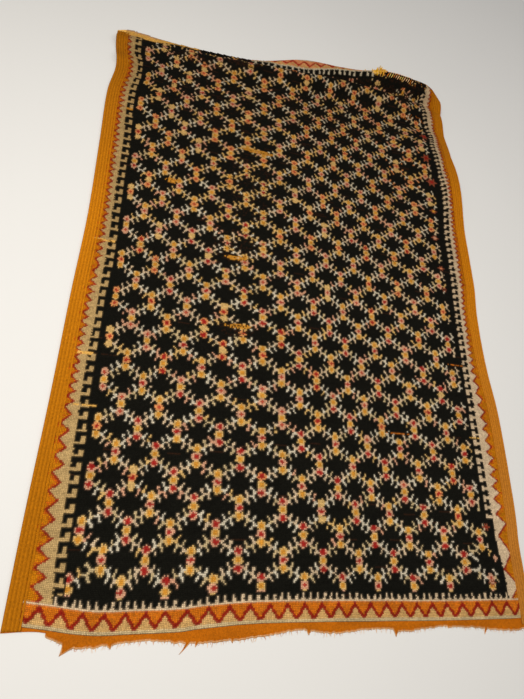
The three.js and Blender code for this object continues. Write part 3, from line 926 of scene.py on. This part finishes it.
def skirt():
    """Plain woven end below the band, with a torn lower edge: each torn point pulls the edge down and sideways."""
    base = np.arange(SKIRT_LEFT, SKIRT_RIGHT, SKIRT_STEP)
    foot = along(LOWER_EDGE, "x", "fray", base) + 1.5
    ragged = 1.5 * soft_noise(base, base * 0, 9, 2) + 0.9 * soft_noise(base, base * 0, 3.3, 5)
    foot = foot + ragged - 1.5 * (hashed(np.floor(base / SKIRT_STEP), 0, 3) > 0.9)
    foot = np.maximum(foot, along(LOWER_EDGE, "x", "fray", base) - 2.5)
    pull = np.zeros(len(base))
    for t in places(TEARS):
        weight = np.clip(1 - np.abs(base - t["x"]) / (t["half"] + SKIRT_STEP), 0, 1) ** 1.3
        foot = foot - t["reach"] * weight
        pull += t["lean"] * weight
    share = np.linspace(0, 1, 15)[:, None] ** 0.8
    head = -1059.5 + along(BAND_DRIFT, "x", "off", base)
    y = foot + share * (head - foot)
    x = base + pull * (1 - share) ** 3
    under = 0 * x + 0.15
    thick = SKIRT_TOP - 1.6 * (1 - share) ** 6 + 0.2 * soft_noise(x, y, 14, 7)
    mid = (share[:-1] + share[1:]) / 2 + 0 * x[:-1, :-1]
    edge_mm = mid * (head - foot)[:-1]
    pale = np.clip(1.25 - edge_mm / 4.2, 0, 1)[..., None]
    tone = 0.85 + 0.3 * hashed(np.arange(len(y) - 1)[:, None], np.arange(len(base) - 1), 8)
    tone *= 1 + 0.1 * soft_noise(x[:-1, :-1], y[:-1, :-1] * 3, 60, 9)
    dye = (YARNS["skirt"] * (1 - pale) + YARNS["pale"] * pale) * tone[..., None]
    net = flat_net(x / 1.9, y / 1.9)
    # The underside gets the top colours darkened to 0.8 as painted shade.
    return closed_slab("skirt_weave", x, y, under, thick, dye, dye * 0.8, net, PLAIN_WEAVE)


def strands(name, x, y, z, thick, dye):
    """Round tapering threads: x, y and z are (threads, points). Each ring of four points turns about its thread."""
    path = np.stack([x, y, z], -1)
    step = np.gradient(path, axis=1)
    step /= np.linalg.norm(step, axis=-1, keepdims=True)
    side = np.cross(step, (0.0, 0.0, 1.0))
    side /= np.linalg.norm(side, axis=-1, keepdims=True)
    above = np.cross(side, step)
    turn = np.arange(4) * np.pi / 2
    ring = side[:, :, None] * np.cos(turn)[:, None] + above[:, :, None] * np.sin(turn)[:, None]
    points = path[:, :, None] + ring * thick[..., None, None]
    threads, length = x.shape
    first = np.arange(threads)[:, None] * length * 4 + np.arange(4)
    a = first[:, None] + np.arange(length - 1)[:, None] * 4
    walls = wall_faces(a, np.roll(a, -1, axis=-1), 4).reshape(-1, 4)
    last = first + (length - 1) * 4
    faces = np.concatenate([walls, first, last[:, ::-1]])
    colors = np.repeat(dye, length * 4, axis=0)
    net = np.stack(np.broadcast_arrays(0.5, np.arange(length)[None, :, None] * 0.7, np.zeros((threads, 1, 4))), -1)
    points = put(*points.reshape(-1, 3).T)
    return make_piece(name, points, faces, colors, net.reshape(-1, 3), YARN_WOOL, "POINT")


def each(count, seed):
    """One hashed value for each thread, as a column."""
    return hashed(np.arange(count), seed)[:, None]


def edge_hairs():
    """Loose thread ends along the torn edge, lying on the floor: each leaves the edge and bends to one side."""
    count = 170
    t = np.linspace(0, 1, 6)
    place = (np.arange(count)[:, None] + 0.8 * each(count, 1)) / count
    x0 = SKIRT_LEFT + 14 + place * (SKIRT_RIGHT - SKIRT_LEFT - 20)
    reach = 5 + 7 * each(count, 2) ** 2
    x = x0 + 9 * (each(count, 3) - 0.5) * t**2
    y = along(LOWER_EDGE, "x", "fray", x0) + 3 - reach * t
    z = 1.0 - 0.35 * t + 0 * x
    thick = (0.45 + 0.35 * each(count, 4)) * (1 - 0.6 * t)
    dye = np.where(each(count, 6) > 0.45, YARNS["pale"], YARNS["ginger"]) * (0.8 + 0.4 * each(count, 5))
    return strands("edge_hairs", x, y, z, thick, dye)


# Yarn ends of the tuft: where each starts and ends across, and how far it reaches
TUFT = table(
    "root tip long", (343, 332, 20), (352, 345, 27), (356, 351, 24), (362, 362, 28), (368, 370, 24),
    (375, 380, 34), (380, 390, 35), (385, 402, 41), (390, 414, 46), (394, 420, 45), (398, 424, 40),
    (402, 428, 33), (406, 433, 25),
)


def tuft():
    """Matted yarn ends behind the far crest: they start on the floor and curve upwards, as a square of the reach.
    Each place in the table has five strands side by side."""
    count = 5 * len(TUFT["long"])
    root, tip, long = (np.repeat(TUFT[name], 5)[:, None] for name in ("root", "tip", "long"))
    long = long * (1 - 0.12 * each(count, 8))
    root = root + (np.arange(count)[:, None] % 5 - 2) * 1.6
    tip = tip + 6 * (each(count, 9) - 0.5)
    t = np.linspace(-0.12, 1, 12)
    out = np.clip(t, 0, 1)
    x = root + (tip - root) * out**1.2
    y = 1115.5 + long * t
    z = 2.4 + 0.018 * (long * out) ** 2
    thick = (1.5 + 0.7 * each(count, 3)) * (1 - 0.3 * out**2)
    dye = YARNS["mustard"] * (0.8 + 0.4 * each(count, 5))
    return strands("end_tuft_yarn", x, y, z, thick, dye)


def crest_mat():
    """Loose yellow yarn matted over the far crest: short bent strands in a heap that is highest in the middle."""
    count = 90
    turn = 2.2 * (each(count, 23) - 0.5) + 0.9
    half = 5 + 7 * each(count, 24)
    t = np.linspace(-1, 1, 6)
    x = 358 + 54 * each(count, 21) + half * t * np.cos(turn) + 2 * t**2
    y = 1074 + 22 * each(count, 22) + half * t * np.sin(turn)
    heap = np.exp(-(((x - 400) / 20) ** 2) - ((y - 1090) / 12) ** 2)
    z = lift(x, y) + 7.2 + (1.5 + 9 * heap) * each(count, 25)
    thick = (1.1 + 0.7 * each(count, 26)) * (1 - 0.5 * t**2)
    pick = each(count, 27)
    dye = np.where(pick > 0.45, YARNS["mustard"], np.where(pick > 0.2, YARNS["gold_rim"], YARNS["gold"]))
    return strands("crest_mat", x, y, z, thick, dye * (0.75 + 0.4 * each(count, 28)))


def crest_loops():
    """Broken loops of weft along the worn far crest: slanted low arches, in two rows that run together."""
    count = 26
    n = np.arange(count)[:, None]
    second = n % 2
    x0 = 418 + 9.8 * (n // 2) + 4 * second + 1.5 * each(count, 1)
    half = 4.0 + 2.5 * each(count, 3)
    t = np.linspace(-1, 1, 7)
    x = x0 + half * t * 0.6
    y = along(FAR_RIDGE, "x", "crest", x0) + 2 - 15 * second + half * t * 1.2
    z = lift(x, y) + 6.6 + 2.2 * (1 - t**2)
    thick = (1.2 + 0.5 * each(count, 6)) * (1 - 0.4 * t**2)
    pick = each(count, 7)
    dye = np.where(pick > 0.6, YARNS["pale"], np.where(pick > 0.2, YARNS["honey"], YARNS["ginger"]))
    # Painted light: the yarn colours are lightened by 1.3, up to 0.9.
    return strands("crest_loops", x, y, z, thick, np.minimum(dye * 1.3, 0.9))


# ---------------- the object
ground = ground_weave()
PILE_ROWS = {"lower": (FIRST_ROW, 117), "middle": (118, 256), "upper": (257, 395), "far": (396, LAST_ROW)}
pile = [pile_strip(f"pile_{name}", first, last) for name, (first, last) in PILE_ROWS.items()]
left_selvedge = selvedge("selvedge_left", LEFT_EDGE, 1)
right_selvedge = selvedge("selvedge_right", RIGHT_EDGE, -1)
skirt_piece = skirt()
hairs = edge_hairs()
tuft_piece = tuft()
mat = crest_mat()
loops = crest_loops()

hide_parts("rug_cloth")
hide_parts("lower_fray")
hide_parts("end_tuft")


# ---------------- floor and light
def pale_floor():
    """A large pale plain floor, with only a very faint tone in it."""
    half = 12.0
    mesh = bpy.data.meshes.new("floor")
    mesh.from_pydata([(-half, -half, 0), (half, -half, 0), (half, half, 0), (-half, half, 0)], [], [(0, 1, 2, 3)])
    material = bpy.data.materials.new("floor_paint")
    material.use_nodes = True
    net = Net(material.node_tree)
    noise = net.add("TexNoise", Vector=net.add("TexCoord").outputs["Object"], Scale=1.3, Detail=2.0)
    tone = net.math("MULTIPLY_ADD", noise.outputs["Fac"], 0.02, 0.62)
    shader = material.node_tree.nodes["Principled BSDF"]
    net.feed(shader.inputs["Base Color"], net.add("CombineColor", _0=tone, _1=tone, _2=tone).outputs[0])
    shader.inputs["Roughness"].default_value = 0.8
    mesh.materials.append(material)
    piece = bpy.data.objects.new("floor", mesh)
    bpy.context.scene.collection.objects.link(piece)


def soft_light(name, place, target, size, power, tint):
    """A large square lamp at a place, facing a target."""
    data = bpy.data.lights.new(name, "AREA")
    data.shape = "SQUARE"
    data.size = size
    data.energy = power
    data.color = tint
    away = unit(np.subtract(place, target))
    side = unit(np.cross((0.0, 1.0, 0.0), away))
    stand(bpy.data.objects.new(name, data), side, np.cross(away, side), away, place)


pale_floor()
soft_light("key", (-1.0, -0.55, 2.5), (-0.1, -0.1, 0), size=1.8, power=76, tint=(1.0, 0.95, 0.86))
soft_light("fill", (2.4, 0.6, 2.8), (0, 0, 0), size=2.6, power=34, tint=(1.0, 0.97, 0.93))
world = bpy.data.worlds.new("studio")
world.use_nodes = True
world.node_tree.nodes["Background"].inputs["Color"].default_value = (1.0, 0.97, 0.93, 1)
world.node_tree.nodes["Background"].inputs["Strength"].default_value = 0.35
bpy.context.scene.world = world
bpy.context.scene.view_settings.view_transform = "Standard"
